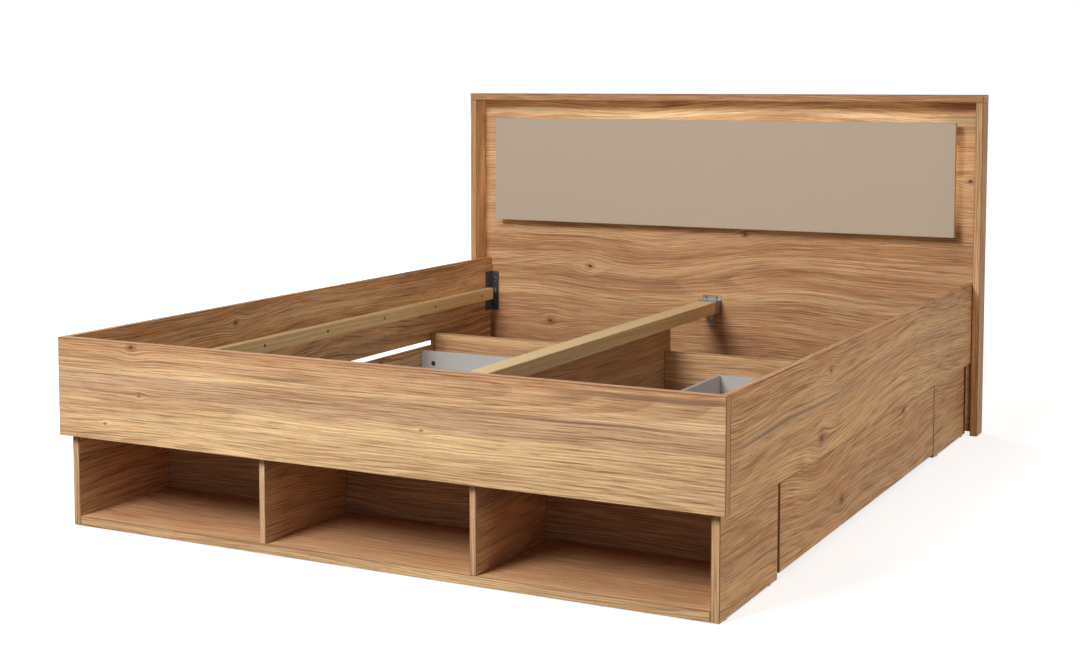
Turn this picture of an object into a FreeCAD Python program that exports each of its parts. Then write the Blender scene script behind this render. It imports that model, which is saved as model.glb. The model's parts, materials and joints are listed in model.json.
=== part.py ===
import FreeCAD, Part
import math
import os
import types

import Sketcher

# Storage bed with a lit headboard, an open shelf under the footboard and two roll-out drawers.
# Bed coordinates in millimetres: X = 0 on the middle of the bed, Y = 0 on the footboard's front face
# and rising towards the headboard, Z = 0 on the floor. Every sketch is drawn in these coordinates.
# Every body is then shifted along Y, so that the origin lies on the floor under the middle of the bed.

DIMENSIONS = {
    # Bed frame
    "outer_width": 1650,            # over the two side rails
    "frame_length": 2050,           # footboard's front face to the headboard panel
    "rail_bottom": 218,             # floor to the lower edge of rails and footboard
    "rail_height": 230,
    "rail_thickness": 19,
    "footboard_thickness": 22,
    "edge_break": 1,                # bevel along every board edge
    # Headboard
    "headboard_height": 1000,
    "post_gap": 2,                  # between a rail's outer face and its post
    "post_thickness": 21,
    "post_depth": 66,
    "top_thickness": 22,
    "panel_thickness": 16,
    "panel_inset": 6,               # panel's edges inside the outer faces of posts and top board
    # Accent panel and its light
    "accent_side_gap": 62,          # accent panel's ends to the posts
    "accent_top_gap": 60,           # accent panel's top edge to the top board
    "accent_height": 337,
    "accent_thickness": 16,
    "accent_standoff": 28,          # free depth behind the accent panel
    "spacer_width": 40,
    "spacer_height": 200,
    "spacer_inset": 105,            # middle of the last spacer to the accent panel's end
    "led_depth": 8,                 # channel, off the accent panel's back
    "led_rise": 12,                 # channel, towards its open side
    "led_wall": 1.5,
    "led_lens": 2,
    "led_edge_inset": 30,           # channel's mouth inside the accent panel's edge
    "led_end_inset": 50,            # channel's ends inside the accent panel's corners
    "outlet_radius": 12,            # cable outlet through the headboard panel
    # Slat ledges and their screws
    "slat_seat": 348,               # floor to the top of ledges and beam
    "batten_width": 25,
    "batten_height": 38,
    "batten_end_gap": 34,
    "batten_screw_inset": 80,       # first and last screw to the ledge's ends
    "screw_shank": 2,               # radius
    "screw_head": 4.5,              # radius
    "screw_head_height": 2,
    "screw_grip": 10,               # length of shank in the board behind
    "screw_play": 0.05,             # radial, in a pilot hole
    # Corner brackets
    "bracket_sheet": 2.5,
    "bracket_rail_leg": 43,
    "bracket_end_leg": 28,
    "bracket_bottom": 271,
    "bracket_height": 130,
    "bracket_hole_inset": 18,
    "slot_length": 16,
    "slot_pitch": 38,
    "notch_play": 0.3,
    # Centre beam and its shoes
    "beam_width": 58,
    "beam_end_gap": 0.5,
    "shoe_sheet": 2,
    "shoe_play": 0.3,
    "shoe_reach": 46,
    "shoe_rise": 14,
    "tongue_width": 12,
    "tongue_drop": 42,
    # Plinth panels, shelf and glides
    "plinth_thickness": 16,
    "plinth_overlap": 24,           # height that plinth panels reach up behind the rails
    "rear_run": 404,                # cross panels' front faces to the headboard panel
    "rear_gap": 35,                 # rear side panels to the headboard panel
    "partition_tail": 48,           # partition behind the cross panels' front faces
    "shelf_depth": 331,
    "shelf_end_thickness": 19,
    "shelf_bottom_thickness": 22,
    "shelf_back_thickness": 12,
    "glide_height": 3,
    "glide_width": 14,
    "glide_inset": 40,
    # Drawers
    "drawer_foot_gap": 13,
    "drawer_head_gap": 6,
    "drawer_front_thickness": 16,
    "drawer_floor_gap": 13,
    "finger_gap": 13,               # drawer front's top edge to the rail's lower edge
    "box_end_inset": 62,            # box inside the front's ends
    "box_depth": 593,
    "box_wall": 12,
    "box_bottom": 30,
    "box_rail_gap": 20,             # box's rim to the rail's lower edge
    "box_floor": 46,
    "box_floor_thickness": 10,
    "cam_radius": 7.5,
    "cam_depth": 9,
    "cam_play": 0.1,
    "cam_setback": 42,
    "cam_edge_inset": 38,
    # Castors
    "castor_inset": 60,
    "wheel_radius": 20,
    "wheel_width": 16,
    "wheel_bevel": 3,
    "axle_radius": 3,
    "axle_play": 0.05,
    "fork_sheet": 2.5,
    "fork_play": 0.5,
    "fork_length": 32,
    "fork_drop": 7,                 # cheeks below the axle
}

SIDES = (("left", -1), ("right", 1))
BATTEN_SCREWS = 7
SPACERS = 4
BRACKET_SLOTS = 3
HEXAGON_TURNS = [math.pi / 3 * corner for corner in range(6)]

doc = FreeCAD.newDocument("storage_bed")
sheet = doc.addObject("Spreadsheet::Sheet", "dims")
for row, (alias, number) in enumerate(DIMENSIONS.items(), start=1):
    sheet.set(f"A{row}", str(number))
    sheet.setAlias(f"A{row}", alias)
doc.recompute()


class Size:
    """A length with its present value and the formula on the sheet that gives it."""

    def __init__(self, value, formula):
        self.value = value
        self.formula = formula

    def joined(self, other, sign, value):
        return Size(value, f"({self.formula} {sign} {other.formula})")

    def __add__(self, other):
        return self.joined(other, "+", self.value + other.value)

    def __sub__(self, other):
        return self.joined(other, "-", self.value - other.value)

    def __mul__(self, factor):
        return Size(self.value * factor, f"({self.formula} * {factor})")

    def __truediv__(self, factor):
        return Size(self.value / factor, f"({self.formula} / {factor})")

    def __neg__(self):
        return Size(-self.value, f"(-{self.formula})")


cells = {alias: Size(number, f"dims.{alias}") for alias, number in DIMENSIONS.items()}
size = types.SimpleNamespace(**cells)
ZERO = Size(0, "0")

# Each plane's role, the sign of its normal along the bed's axis
PLANES = {"XY": ("XY_Plane", 1), "XZ": ("XZ_Plane", -1), "YZ": ("YZ_Plane", 1)}

pieces = []
cuts = []


def span(side, inner, outer):
    """The X range between two distances from the middle, on the left (-1) or right (1) side."""
    if side > 0:
        return inner, outer
    return -outer, -inner


def new_body(label):
    body = doc.addObject("PartDesign::Body", label)
    body.Label = label
    body.setExpression("Placement.Base.y", (-middle).formula)
    pieces.append(body)
    return body


def origin_feature(body, role):
    return next(feature for feature in body.Origin.OriginFeatures if feature.Role == role)


def new_sketch(body, plane, level):
    """A sketch in bed coordinates on the plane Z, Y or X = level."""
    role, sign = PLANES[plane]
    sketch = body.newObject("Sketcher::SketchObject", f"{body.Label}_sketch")
    sketch.AttachmentSupport = (origin_feature(body, role), [""])
    sketch.MapMode = "FlatFace"
    sketch.setExpression("AttachmentOffset.Base.z", (level * sign).formula)
    return sketch


def fix_size(sketch, constraint, length):
    index = sketch.addConstraint(constraint)
    sketch.setExpression(f"Constraints[{index}]", length.formula)


def fix_point(sketch, geometry, end, point):
    """Hold one end of a line, or the centre of a circle or arc, at a point."""
    for kind, length in zip(("DistanceX", "DistanceY"), point):
        fix_size(sketch, Sketcher.Constraint(kind, -1, 1, geometry, end, length.value), length)


def vector(point):
    return FreeCAD.Vector(point[0].value, point[1].value, 0)


def add_outline(sketch, points):
    """A closed outline of straight edges through the points."""
    first = sketch.GeometryCount
    following = points[1:] + points[:1]
    for start, end in zip(points, following):
        sketch.addGeometry(Part.LineSegment(vector(start), vector(end)), False)
    for step, point in enumerate(points):
        next_line = first + (step + 1) % len(points)
        sketch.addConstraint(Sketcher.Constraint("Coincident", first + step, 2, next_line, 1))
        fix_point(sketch, first + step, 1, point)


def add_rectangle(sketch, across, up):
    low_u, high_u = across
    low_v, high_v = up
    add_outline(sketch, [(low_u, low_v), (high_u, low_v), (high_u, high_v), (low_u, high_v)])


def add_circle(sketch, centre, radius):
    circle = Part.Circle(vector(centre), FreeCAD.Vector(0, 0, 1), radius.value)
    index = sketch.addGeometry(circle, False)
    fix_point(sketch, index, 3, centre)
    fix_size(sketch, Sketcher.Constraint("Radius", index, radius.value), radius)


def add_hexagon(sketch, centre, radius):
    """The six-sided section of screws and their holes, which keeps small parts to few faces."""
    across, up = centre
    add_outline(sketch, [(across + radius * round(math.cos(turn), 6), up + radius * round(math.sin(turn), 6))
                         for turn in HEXAGON_TURNS])


def extrude(body, kind, sketch, plane, length, towards):
    """Pad or pocket a sketch by a length, towards the positive (1) or negative (-1) axis."""
    sign = PLANES[plane][1]
    feature = body.newObject(f"PartDesign::{kind}", f"{body.Label}_{kind.lower()}")
    feature.Profile = sketch
    feature.setExpression("Length", length.formula)
    usual = sign if kind == "Pad" else -sign
    feature.Reversed = towards != usual
    body.Tip = feature
    if kind == "Pocket":
        cuts.append(feature)
    return feature


def pad(body, sketch, plane, length, towards=1):
    return extrude(body, "Pad", sketch, plane, length, towards)


def break_edges(body, feature):
    bevel = body.newObject("PartDesign::Chamfer", f"{body.Label}_bevel")
    bevel.Base = (feature, ["Edge1"])
    bevel.UseAllEdges = True
    bevel.setExpression("Size", size.edge_break.formula)
    body.Tip = bevel


def board(label, across, along, up):
    """A straight board with bevelled edges between its X, Y and Z limits."""
    body = new_body(label)
    sketch = new_sketch(body, "XY", up[0])
    add_rectangle(sketch, across, along)
    break_edges(body, pad(body, sketch, "XY", up[1] - up[0]))
    return body


def drill(body, plane, level, points, radius, depth, towards, section=add_circle):
    sketch = new_sketch(body, plane, level)
    for point in points:
        section(sketch, point, radius)
    extrude(body, "Pocket", sketch, plane, depth, towards)


def add_rods(body, plane, level, points, radius, length, towards=1, section=add_circle):
    sketch = new_sketch(body, plane, level)
    for point in points:
        section(sketch, point, radius)
    pad(body, sketch, plane, length, towards)


def add_screws(body, plane, level, points, length, towards):
    """Hexagon-head screws: heads on the plane, shanks pointing towards 1 or -1."""
    add_rods(body, plane, level, points, size.screw_head, size.screw_head_height, -towards, add_hexagon)
    add_rods(body, plane, level, points, size.screw_shank, length, towards, add_hexagon)


def drill_pilots(body, plane, level, points, depth, towards):
    """Holes for the shanks of screws, with a little play."""
    drill(body, plane, level, points, size.screw_shank + size.screw_play, depth, towards, add_hexagon)


# Limits that several pieces share
half_width = size.outer_width / 2
rail_inner = half_width - size.rail_thickness
rail_top = size.rail_bottom + size.rail_height
footboard_back = size.footboard_thickness
panel_front = size.frame_length
panel_back = panel_front + size.panel_thickness
middle = panel_back / 2
plinth_top = size.rail_bottom + size.plinth_overlap
plinth_inner = rail_inner - size.plinth_thickness
beam_bottom = size.slat_seat - size.batten_height
shelf_rear = footboard_back + size.shelf_depth
drawer_foot = shelf_rear + size.drawer_foot_gap
cross_front = panel_front - size.rear_run
drawer_head = cross_front - size.drawer_head_gap
# The faces that carry brackets and shoes at each end, with the direction into the bed
ENDS = (("head", panel_front, -1), ("foot", footboard_back, 1))


# Headboard
post_inner = half_width + size.post_gap
post_outer = post_inner + size.post_thickness
post_front = panel_front - size.post_depth
top_under = size.headboard_height - size.top_thickness
for name, side in SIDES:
    board(f"headboard_{name}_post", span(side, post_inner, post_outer), (post_front, panel_front),
          (size.glide_height, top_under))
board("headboard_top_board", (-post_outer, post_outer), (post_front, panel_front),
      (top_under, size.headboard_height))
panel_half = post_outer - size.panel_inset
headboard_panel = board("headboard_panel", (-panel_half, panel_half), (panel_front, panel_back),
                        (size.glide_height, size.headboard_height - size.panel_inset))

# Accent panel on spacers, in front of the headboard panel
accent_half = post_inner - size.accent_side_gap
accent_back = panel_front - size.accent_standoff
accent_top = top_under - size.accent_top_gap
accent_bottom = accent_top - size.accent_height
accent_middle = accent_top - size.accent_height / 2
board("accent_panel", (-accent_half, accent_half), (accent_back - size.accent_thickness, accent_back),
      (accent_bottom, accent_top))
spacers = new_body("accent_spacers")
spacer_plan = new_sketch(spacers, "XY", accent_middle - size.spacer_height / 2)
spacer_half = size.spacer_width / 2
for number in range(SPACERS):
    spacer_middle = (accent_half - size.spacer_inset) * (2 * number / (SPACERS - 1) - 1)
    add_rectangle(spacer_plan, (spacer_middle - spacer_half, spacer_middle + spacer_half),
                  (accent_back, panel_front))
pad(spacers, spacer_plan, "XY", size.spacer_height)


def channel_outline(sketch, depth, low, mouth, swap):
    """A U section: walls on two sides of its depth, a floor at low and open at mouth.

    swap puts the depth on the sketch's second axis.
    """
    near, far = depth
    wall = size.led_wall
    rising = 1 if mouth.value > low.value else -1
    floor = low + wall * rising
    points = [(near, low), (far, low), (far, mouth), (far - wall, mouth), (far - wall, floor),
              (near + wall, floor), (near + wall, mouth), (near, mouth)]
    add_outline(sketch, [(b, a) for a, b in points] if swap else points)


# Light channels on the accent panel's back: open upwards along its top, outwards along its sides
led_depth = (accent_back, accent_back + size.led_depth)
led_top_mouth = accent_top - size.led_edge_inset
led_half = accent_half - size.led_end_inset
led_side_mouth = accent_half - size.led_edge_inset
led_side_span = (accent_bottom + size.led_end_inset, accent_top - size.led_end_inset)
top_channel = new_body("led_channel_top")
top_section = new_sketch(top_channel, "YZ", -led_half)
channel_outline(top_section, led_depth, led_top_mouth - size.led_rise, led_top_mouth, False)
pad(top_channel, top_section, "YZ", led_half * 2)
for name, side in SIDES:
    channel = new_body(f"led_channel_{name}")
    section = new_sketch(channel, "XY", led_side_span[0])
    channel_outline(section, led_depth, (led_side_mouth - size.led_rise) * side, led_side_mouth * side, True)
    pad(channel, section, "XY", led_side_span[1] - led_side_span[0])

# Diffusers closing the mouths of the channels
lens_depth = (accent_back + size.led_wall, accent_back + size.led_depth - size.led_wall)
diffusers = new_body("led_diffusers")
lens_plan = new_sketch(diffusers, "XY", led_top_mouth - size.led_lens)
add_rectangle(lens_plan, (-led_half, led_half), lens_depth)
pad(diffusers, lens_plan, "XY", size.led_lens)
side_lens_plan = new_sketch(diffusers, "XY", led_side_span[0])
for name, side in SIDES:
    add_rectangle(side_lens_plan, span(side, led_side_mouth - size.led_lens, led_side_mouth), lens_depth)
pad(diffusers, side_lens_plan, "XY", led_side_span[1] - led_side_span[0])

# Cable outlet through the headboard panel, behind the accent panel
outlet = [(ZERO, accent_middle)]
drill(headboard_panel, "XZ", panel_front, outlet, size.outlet_radius, size.panel_thickness, 1)

# Footboard and side rails
rail_up = (size.rail_bottom, rail_top)
footboard = board("footboard", (-half_width, half_width), (ZERO, footboard_back), rail_up)
rail_along = (footboard_back, panel_front)
rails = {}
for name, side in SIDES:
    rails[name] = board(f"{name}_rail", span(side, rail_inner, half_width), rail_along, rail_up)

# Slat ledges, notched at their ends over the corner brackets
batten_inner = rail_inner - size.batten_width
batten_span = (footboard_back + size.batten_end_gap, panel_front - size.batten_end_gap)
bed_middle = (footboard_back + panel_front) / 2
screw_height = size.slat_seat - size.batten_height / 2
screw_reach = bed_middle - batten_span[0] - size.batten_screw_inset
screw_steps = [2 * number / (BATTEN_SCREWS - 1) - 1 for number in range(BATTEN_SCREWS)]
batten_points = [(bed_middle + screw_reach * step, screw_height) for step in screw_steps]
batten_screws = new_body("batten_screws")
notch_reach = size.bracket_rail_leg + size.notch_play
for name, side in SIDES:
    batten = board(f"{name}_batten", span(side, batten_inner, rail_inner), batten_span,
                   (beam_bottom, size.slat_seat))
    notches = new_sketch(batten, "YZ", rail_inner * side)
    add_rectangle(notches, (batten_span[0], footboard_back + notch_reach), (beam_bottom, size.slat_seat))
    add_rectangle(notches, (panel_front - notch_reach, batten_span[1]), (beam_bottom, size.slat_seat))
    extrude(batten, "Pocket", notches, "YZ", size.bracket_sheet + size.notch_play, -side)
    drill_pilots(batten, "YZ", batten_inner * side, batten_points, size.batten_width, side)
    drill_pilots(rails[name], "YZ", rail_inner * side, batten_points, size.screw_grip, side)
    screw_length = size.batten_width + size.screw_grip
    add_screws(batten_screws, "YZ", batten_inner * side, batten_points, screw_length, side)

# Corner brackets: a long leg on the rail, a slotted leg on the headboard panel or footboard
bracket_top = size.bracket_bottom + size.bracket_height
bracket_middle = size.bracket_bottom + size.bracket_height / 2
slot_inset = (size.bracket_sheet + size.bracket_end_leg) / 2
rail_hole_reach = (size.bracket_sheet + size.bracket_rail_leg) / 2
slot_half = (size.screw_shank + size.screw_play, size.slot_length / 2)
bracket_screws = new_body("bracket_screws")
boards_at_ends = {"head": headboard_panel, "foot": footboard}

for end, face, inward in ENDS:
    for name, side in SIDES:
        bracket = new_body(f"corner_bracket_{end}_{name}")
        plan = new_sketch(bracket, "XY", size.bracket_bottom)
        sheet_metal = size.bracket_sheet
        corners = [(ZERO, ZERO), (ZERO, size.bracket_rail_leg), (sheet_metal, size.bracket_rail_leg),
                   (sheet_metal, sheet_metal), (size.bracket_end_leg, sheet_metal),
                   (size.bracket_end_leg, ZERO)]
        add_outline(plan, [((rail_inner - off) * side, face + along * inward) for off, along in corners])
        pad(bracket, plan, "XY", size.bracket_height)
        slot_across = (rail_inner - slot_inset) * side
        slot_heights = [bracket_middle + size.slot_pitch * (number - (BRACKET_SLOTS - 1) / 2)
                        for number in range(BRACKET_SLOTS)]
        slots = new_sketch(bracket, "XZ", face)
        for height in slot_heights:
            add_rectangle(slots, (slot_across - slot_half[0], slot_across + slot_half[0]),
                          (height - slot_half[1], height + slot_half[1]))
        extrude(bracket, "Pocket", slots, "XZ", sheet_metal, inward)
        hole_along = face + rail_hole_reach * inward
        rail_points = [(hole_along, size.bracket_bottom + size.bracket_hole_inset),
                       (hole_along, bracket_top - size.bracket_hole_inset)]
        end_points = [(slot_across, slot_heights[0]), (slot_across, slot_heights[-1])]
        drill_pilots(bracket, "YZ", rail_inner * side, rail_points, sheet_metal, -side)
        drill_pilots(rails[name], "YZ", rail_inner * side, rail_points, size.screw_grip, side)
        drill_pilots(boards_at_ends[end], "XZ", face, end_points, size.screw_grip, -inward)
        screw_length = sheet_metal + size.screw_grip
        add_screws(bracket_screws, "YZ", (rail_inner - sheet_metal) * side, rail_points, screw_length, side)
        add_screws(bracket_screws, "XZ", face + sheet_metal * inward, end_points, screw_length, -inward)

# Centre beam, over the partition, with a steel shoe at each end
beam_middle = -(size.plinth_thickness / 2)
beam_half = size.beam_width / 2
beam_inset = size.shoe_sheet + size.beam_end_gap
board("center_beam", (beam_middle - beam_half, beam_middle + beam_half),
      (footboard_back + beam_inset, panel_front - beam_inset), (beam_bottom, size.slat_seat))
hood_inner = beam_half + size.shoe_play
hood_outer = hood_inner + size.shoe_sheet
hood_top = size.slat_seat + size.shoe_sheet
plate_top = hood_top + size.shoe_rise
tongue_half = size.tongue_width / 2
tongue_bottom = beam_bottom - size.tongue_drop
shoe_points = [(beam_middle - hood_inner * 0.6, hood_top + size.shoe_rise / 2),
               (beam_middle + hood_inner * 0.6, hood_top + size.shoe_rise / 2),
               (beam_middle, tongue_bottom + size.tongue_width)]
for end, face, inward in ENDS:
    shoe = new_body(f"beam_shoe_{end}")
    plate = new_sketch(shoe, "XZ", face)
    plate_corners = [(hood_outer, plate_top), (hood_outer, beam_bottom), (tongue_half, beam_bottom),
                     (tongue_half, tongue_bottom)]
    mirrored_corners = [(-off, height) for off, height in reversed(plate_corners)]
    add_outline(plate, [(beam_middle + off, height) for off, height in plate_corners + mirrored_corners])
    pad(shoe, plate, "XZ", size.shoe_sheet, inward)
    hood = new_sketch(shoe, "XZ", face)
    hood_corners = [(hood_outer, hood_top), (hood_outer, beam_bottom), (hood_inner, beam_bottom),
                    (hood_inner, size.slat_seat)]
    mirrored_corners = [(-off, height) for off, height in reversed(hood_corners)]
    add_outline(hood, [(beam_middle + off, height) for off, height in hood_corners + mirrored_corners])
    pad(shoe, hood, "XZ", size.shoe_reach, inward)
    drill_pilots(shoe, "XZ", face, shoe_points, size.shoe_sheet, inward)
    drill_pilots(boards_at_ends[end], "XZ", face, shoe_points, size.screw_grip, -inward)
    add_screws(bracket_screws, "XZ", face + size.shoe_sheet * inward, shoe_points,
               size.shoe_sheet + size.screw_grip, -inward)

# Open shelf under the footboard: three equal niches
shelf_inner = rail_inner - size.shelf_end_thickness
shelf_floor = size.glide_height + size.shelf_bottom_thickness
shelf_ceiling = plinth_top - size.plinth_thickness
shelf_along = (footboard_back, shelf_rear)
plinth_up = (size.glide_height, plinth_top)
niche_rear = shelf_rear - size.shelf_back_thickness
niche_half = (shelf_inner - size.plinth_thickness) / 3
for name, side in SIDES:
    board(f"shelf_{name}_end", span(side, shelf_inner, rail_inner), shelf_along, plinth_up)
    board(f"shelf_{name}_divider", span(side, niche_half, niche_half + size.plinth_thickness),
          (footboard_back, niche_rear), (shelf_floor, shelf_ceiling))
board("shelf_bottom", (-shelf_inner, shelf_inner), shelf_along, (size.glide_height, shelf_floor))
board("shelf_top", (-shelf_inner, shelf_inner), shelf_along, (shelf_ceiling, plinth_top))
board("shelf_back", (-shelf_inner, shelf_inner), (niche_rear, shelf_rear), (shelf_floor, shelf_ceiling))

# Plinth: partition under the beam, cross panels behind the drawers, side panels behind those
cross_along = (cross_front, cross_front + size.plinth_thickness)
partition_rear = cross_front + size.partition_tail
rear_end = panel_front - size.rear_gap
board("center_partition", (-size.plinth_thickness, ZERO), (shelf_rear, partition_rear),
      (size.glide_height, beam_bottom))
board("left_cross_panel", (-plinth_inner, -size.plinth_thickness), cross_along, plinth_up)
board("right_cross_panel", (ZERO, plinth_inner), cross_along, plinth_up)
for name, side in SIDES:
    board(f"{name}_rear_panel", span(side, plinth_inner, rail_inner), (cross_front, rear_end), plinth_up)

# Glides under every upright that stands on the floor
half_plinth = size.plinth_thickness / 2
shelf_steps = (footboard_back + size.glide_inset, shelf_rear - size.glide_inset)
glide_points = [(beam_middle, bed_middle), (beam_middle, partition_rear - size.glide_inset)]
for name, side in SIDES:
    glide_points += [((shelf_inner + size.shelf_end_thickness / 2) * side, along) for along in shelf_steps]
    glide_points += [((niche_half + half_plinth) * side, along) for along in shelf_steps]
    glide_points += [((plinth_inner + half_plinth) * side, along)
                     for along in (cross_front + size.glide_inset, rear_end - size.glide_inset)]
    glide_points += [(rail_inner / 2 * side, cross_front + half_plinth),
                     ((post_inner + size.post_thickness / 2) * side, post_front + size.post_depth / 2),
                     (panel_half / 2 * side, panel_front + size.panel_thickness / 2)]
glides = new_body("glides")
glide_plan = new_sketch(glides, "XY", ZERO)
glide_half = size.glide_width / 2
for across, along in glide_points:
    add_rectangle(glide_plan, (across - glide_half, across + glide_half),
                  (along - glide_half, along + glide_half))
pad(glides, glide_plan, "XY", size.glide_height)

# Drawers: a wood-grained front, a box behind it and four castors under the box
box_outer = rail_inner - size.drawer_front_thickness
box_inner = box_outer - size.box_depth
box_foot = drawer_foot + size.box_end_inset
box_head = drawer_head - size.box_end_inset
box_top = size.rail_bottom - size.box_rail_gap
box_between = (box_foot + size.box_wall, box_head - size.box_wall)
cam_points = [(box_outer - size.cam_setback, box_top - size.cam_edge_inset)]
castor_rows = (("inner", box_inner + size.castor_inset), ("outer", box_outer - size.castor_inset))
castor_along = (box_between[0] + size.castor_inset, box_between[1] - size.castor_inset)
fork_inner = size.wheel_width / 2 + size.fork_play
fork_outer = fork_inner + size.fork_sheet
fork_ceiling = size.box_floor - size.fork_sheet
fork_bottom = size.wheel_radius - size.fork_drop
axle_bore = size.axle_radius + size.axle_play


def add_wheels(body, across):
    """Two wheels on one axis along Y: a half section turned about the axle, then repeated."""
    half = size.wheel_width / 2
    tread = size.wheel_radius
    outer_half = [(half, axle_bore), (half, tread - size.wheel_bevel), (half - size.wheel_bevel, tread)]
    inner_half = [(-off, radius) for off, radius in reversed(outer_half)]
    section = new_sketch(body, "YZ", across)
    add_outline(section, [(castor_along[0] + off, size.wheel_radius + radius)
                          for off, radius in outer_half + inner_half])
    axis_ends = [(castor_along[0] - half, size.wheel_radius), (castor_along[0] + half, size.wheel_radius)]
    axis = section.addGeometry(Part.LineSegment(*map(vector, axis_ends)), True)
    fix_point(section, axis, 1, axis_ends[0])
    fix_point(section, axis, 2, axis_ends[1])
    wheel = body.newObject("PartDesign::Revolution", f"{body.Label}_turned")
    wheel.Profile = section
    wheel.ReferenceAxis = (section, ["Axis0"])
    wheel.Angle = 360
    pair = body.newObject("PartDesign::LinearPattern", f"{body.Label}_pair")
    pair.Originals = [wheel]
    pair.Direction = (origin_feature(body, "Y_Axis"), [""])
    pair.setExpression("Length", (castor_along[1] - castor_along[0]).formula)
    pair.Occurrences = 2
    body.Tip = pair


for name, side in SIDES:
    drawer = f"{name}_drawer"
    box_across = span(side, box_inner, box_outer)
    box_up = (size.box_bottom, box_top)
    board(f"{drawer}_front", span(side, box_outer, rail_inner), (drawer_foot, drawer_head),
          (size.drawer_floor_gap, size.rail_bottom - size.finger_gap))
    foot_side = board(f"{drawer}_foot_side", box_across, (box_foot, box_between[0]), box_up)
    head_side = board(f"{drawer}_head_side", box_across, (box_between[1], box_head), box_up)
    board(f"{drawer}_back", span(side, box_inner, box_inner + size.box_wall), box_between, box_up)
    board(f"{drawer}_floor", span(side, box_inner + size.box_wall, box_outer), box_between,
          (size.box_floor, size.box_floor + size.box_floor_thickness))

    # Cam locks in the box's sides, which draw the front tight
    cams = new_body(f"{drawer}_cams")
    cam_places = [(across * side, height) for across, height in cam_points]
    for wall, face, outward in ((foot_side, box_between[0], -1), (head_side, box_between[1], 1)):
        drill(wall, "XZ", face, cam_places, size.cam_radius + size.cam_play, size.cam_depth, outward)
        add_rods(cams, "XZ", face, cam_places, size.cam_radius, size.cam_depth, outward)

    # Castor forks, bent down on both sides of the wheels, each with its axle riveted in
    forks = new_body(f"{drawer}_forks")
    for row, across in castor_rows:
        section = new_sketch(forks, "YZ", across * side - size.fork_length / 2)
        for along in castor_along:
            cheek = [(fork_outer, size.box_floor), (fork_outer, fork_bottom), (fork_inner, fork_bottom),
                     (fork_inner, fork_ceiling)]
            mirrored_cheek = [(-off, height) for off, height in reversed(cheek)]
            add_outline(section, [(along + off, height) for off, height in cheek + mirrored_cheek])
        pad(forks, section, "YZ", size.fork_length)
    axle_points = [(across * side, size.wheel_radius) for row, across in castor_rows]
    for along in castor_along:
        add_rods(forks, "XZ", along - fork_inner, axle_points, size.axle_radius, fork_inner * 2)
    for row, across in castor_rows:
        add_wheels(new_body(f"{drawer}_wheels_{row}"), across * side)

doc.recompute()

# Nothing is written unless every feature is sound and every cut removed material
for item in doc.Objects:
    if "Invalid" in item.State or "Error" in item.State:
        raise RuntimeError(f"{item.Name} failed: {item.State}")
for cut in cuts:
    if cut.BaseFeature.Shape.Volume - cut.Shape.Volume <= 0:
        raise RuntimeError(f"{cut.Name} removes nothing")
for piece in pieces:
    if piece.Shape.isNull() or not piece.Shape.isValid():
        raise RuntimeError(f"{piece.Label} has no sound shape")

os.makedirs("parts", exist_ok=True)
for piece in pieces:
    piece.Shape.exportStep(f"parts/{piece.Label}.step")
print(f"{len(pieces)} pieces written")
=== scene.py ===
import json
import logging
import math
from dataclasses import astuple, dataclass
from enum import Enum
from typing import ClassVar, Sequence

import bmesh
import bpy
import numpy as np
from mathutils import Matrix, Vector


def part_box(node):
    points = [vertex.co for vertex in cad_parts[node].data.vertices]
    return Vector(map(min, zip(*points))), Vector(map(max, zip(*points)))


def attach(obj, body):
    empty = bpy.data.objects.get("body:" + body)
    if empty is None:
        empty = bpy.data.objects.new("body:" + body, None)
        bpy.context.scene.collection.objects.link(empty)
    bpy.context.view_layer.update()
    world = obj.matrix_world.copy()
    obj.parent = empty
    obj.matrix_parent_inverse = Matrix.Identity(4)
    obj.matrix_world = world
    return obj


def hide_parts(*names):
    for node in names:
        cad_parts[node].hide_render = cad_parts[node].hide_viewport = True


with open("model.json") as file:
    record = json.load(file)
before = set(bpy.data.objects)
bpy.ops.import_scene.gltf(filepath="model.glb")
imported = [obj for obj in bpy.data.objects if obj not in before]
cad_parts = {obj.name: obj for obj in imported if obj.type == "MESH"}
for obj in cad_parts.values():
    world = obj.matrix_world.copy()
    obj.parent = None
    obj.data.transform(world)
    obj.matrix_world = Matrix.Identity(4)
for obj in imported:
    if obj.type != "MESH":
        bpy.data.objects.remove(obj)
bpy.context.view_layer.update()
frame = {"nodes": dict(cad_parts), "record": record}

# Storage bed: printed wood decor on the boards, bare pine ledges and beam, a matte beige panel lit from
# behind, light grey drawer boxes on castors. Lengths are metres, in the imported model's own frame.

PHOTO_WIDTH = 1080.0
SENSOR_WIDTH = 36.0
MM_PER_M = 1000.0
FIXED_BODY = "bed_frame"
SIDES = ("left", "right")

Colour = tuple[float, float, float]
Socket = bpy.types.NodeSocket
WHITE: Colour = (1.0, 1.0, 1.0)

# The sRGB curve is straight up to its knee, and a power with an offset above it
SCREEN_KNEE = 0.04045
SCREEN_SLOPE = 12.92
SCREEN_OFFSET = 0.055
SCREEN_POWER = 2.4

# Soft noise lies mostly between these
NOISE_LOW = 0.3
NOISE_HIGH = 0.7

# Points that agree to this many decimals, or lie this close together, are one
POINT_DECIMALS = 6
MERGE_DISTANCE = 1e-6

# Narrower faces are dropped, and edges that turn by more stay sharp
SLIVER_WIDTH = 1e-7
SHARP_ANGLE = math.radians(35.0)

log = logging.getLogger("storage_bed")


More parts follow.
